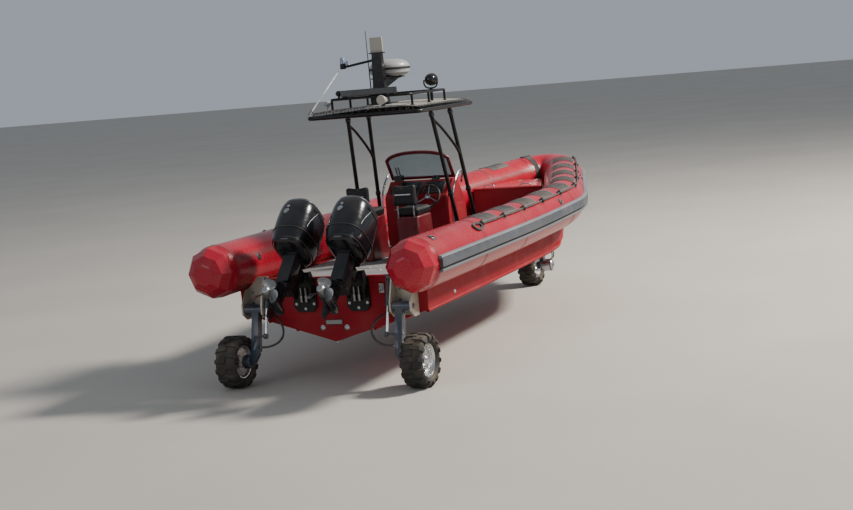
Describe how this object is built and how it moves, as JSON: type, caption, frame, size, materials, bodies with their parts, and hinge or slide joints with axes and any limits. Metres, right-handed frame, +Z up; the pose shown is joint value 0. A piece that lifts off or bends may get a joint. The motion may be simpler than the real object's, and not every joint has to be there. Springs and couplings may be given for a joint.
{
  "type": "amphibious rescue boat",
  "caption": "Rigid hull in an inflatable collar, helm under a fabric roof, tilted outboards, and wheel legs let down to drive on land.",
  "frame": {"origin": "on the floor under the tyres, below the middle of the boat's bounding box", "axes": "+Z up, +Y towards the bow, +X to starboard"},
  "size_m": [3.312, 9.7724, 4.1801],
  "materials": {
    "hull_red": "gloss",
    "tube_red": "satin",
    "strake_grey": "satin",
    "deck_grey": "matte",
    "dark_red": "satin",
    "black_gloss": "gloss",
    "frame_black": "satin",
    "roof_fabric": "matte",
    "white": "gloss",
    "bracket_grey": "satin",
    "leg_blue": "satin",
    "silver": "satin",
    "tyre_black": "matte",
    "seat_black": "satin",
    "screen": "gloss",
    "prop_metal": "satin",
    "hose_black": "satin"
  },
  "bodies": {
    "boat": {"hull": "hull_red", "transom_top": "hull_red", "bow_locker": "hull_red", "console": "hull_red", "sole": "deck_grey", "foredeck": "deck_grey", "tube_port": "tube_red", "tube_starboard": "tube_red", "tube_bow": "tube_red", "strake_port": "strake_grey", "strake_starboard": "strake_grey", "strake_bow": "strake_grey", "windscreen_frame": "dark_red", "windscreen_glass": "screen", "throttle_box": "black_gloss", "seat_base_port": "dark_red", "seat_base_starboard": "dark_red", "seat_cushion_port": "seat_black", "seat_cushion_starboard": "seat_black", "roof_frame": "frame_black", "canopy": "roof_fabric", "roof_rail": "frame_black", "mast": "frame_black", "radome": "white", "light_bar": "black_gloss", "searchlight": "black_gloss", "whip_aerial": "frame_black", "leaning_aerial": "white", "dome_aerial": "white", "horn": "white", "front_bracket": "bracket_grey", "front_leg": "leg_blue", "hose_port": "hose_black", "rear_bracket_port": "bracket_grey", "rear_leg_port": "leg_blue", "rear_ram_port": "silver", "clamp_bracket_port": "frame_black", "hose_starboard": "hose_black", "rear_bracket_starboard": "bracket_grey", "rear_leg_starboard": "leg_blue", "rear_ram_starboard": "silver", "clamp_bracket_starboard": "frame_black"},
    "locker_lid": {"locker_lid": "dark_red"},
    "helm_wheel": {"steering_wheel": "black_gloss"},
    "front_knuckle": {"front_knuckle": "leg_blue"},
    "front_wheel": {"tyre_front": "tyre_black", "rim_front": "silver"},
    "rear_wheel_port": {"tyre_rear_port": "tyre_black", "rim_rear_port": "silver"},
    "swivel_port": {"swivel_bracket_port": "frame_black"},
    "engine_port": {"midsection_port": "black_gloss", "cowl_port": "black_gloss"},
    "propeller_port": {"propeller_port": "prop_metal"},
    "rear_wheel_starboard": {"tyre_rear_starboard": "tyre_black", "rim_rear_starboard": "silver"},
    "swivel_starboard": {"swivel_bracket_starboard": "frame_black"},
    "engine_starboard": {"midsection_starboard": "black_gloss", "cowl_starboard": "black_gloss"},
    "propeller_starboard": {"propeller_starboard": "prop_metal"}
  },
  "joints": [
    {"name": "front_steer", "type": "hinge", "parent": "boat", "child": "front_knuckle", "pos_m": [0, 3.3697, 0.67], "axis": [0, 0, 1], "range_deg": [-35, 35]},
    {"name": "front_wheel_spin", "type": "hinge", "parent": "front_knuckle", "child": "front_wheel", "pos_m": [0, 3.3697, 0.3182], "axis": [1, 0, 0], "continuous": true},
    {"name": "helm_turn", "type": "hinge", "parent": "boat", "child": "helm_wheel", "pos_m": [0.21, -1.1203, 1.93], "axis": [0, -0.866, 0.5], "range_deg": [-540, 540]},
    {"name": "locker_lid_hinge", "type": "hinge", "parent": "boat", "child": "locker_lid", "pos_m": [0, 3.6517, 1.651], "axis": [-1, 0, 0], "range_deg": [0, 95]},
    {"name": "rear_wheel_port_spin", "type": "hinge", "parent": "boat", "child": "rear_wheel_port", "pos_m": [-1.215, -4.1293, 0.3182], "axis": [1, 0, 0], "continuous": true},
    {"name": "outboard_port_tilt", "type": "hinge", "parent": "boat", "child": "swivel_port", "pos_m": [-0.354, -3.9003, 1.32], "axis": [-1, 0, 0], "range_deg": [-45, 17]},
    {"name": "outboard_port_steer", "type": "hinge", "parent": "swivel_port", "child": "engine_port", "pos_m": [-0.354, -3.9781, 1.3978], "axis": [0, 0.7071, 0.7071], "range_deg": [-20, 20]},
    {"name": "propeller_port_spin", "type": "hinge", "parent": "engine_port", "child": "propeller_port", "pos_m": [-0.354, -4.7594, 1.2599], "axis": [0, 0.7071, -0.7071], "continuous": true},
    {"name": "rear_wheel_starboard_spin", "type": "hinge", "parent": "boat", "child": "rear_wheel_starboard", "pos_m": [1.215, -4.1293, 0.3182], "axis": [1, 0, 0], "continuous": true},
    {"name": "outboard_starboard_tilt", "type": "hinge", "parent": "boat", "child": "swivel_starboard", "pos_m": [0.354, -3.9003, 1.32], "axis": [-1, 0, 0], "range_deg": [-45, 17]},
    {"name": "outboard_starboard_steer", "type": "hinge", "parent": "swivel_starboard", "child": "engine_starboard", "pos_m": [0.354, -3.9781, 1.3978], "axis": [0, 0.7071, 0.7071], "range_deg": [-20, 20]},
    {"name": "propeller_starboard_spin", "type": "hinge", "parent": "engine_starboard", "child": "propeller_starboard", "pos_m": [0.354, -4.7594, 1.2599], "axis": [0, 0.7071, -0.7071], "continuous": true}
  ],
  "couplings": [
    {"joint": "outboard_port_steer", "follows": "outboard_starboard_steer", "ratio": 1}
  ]
}
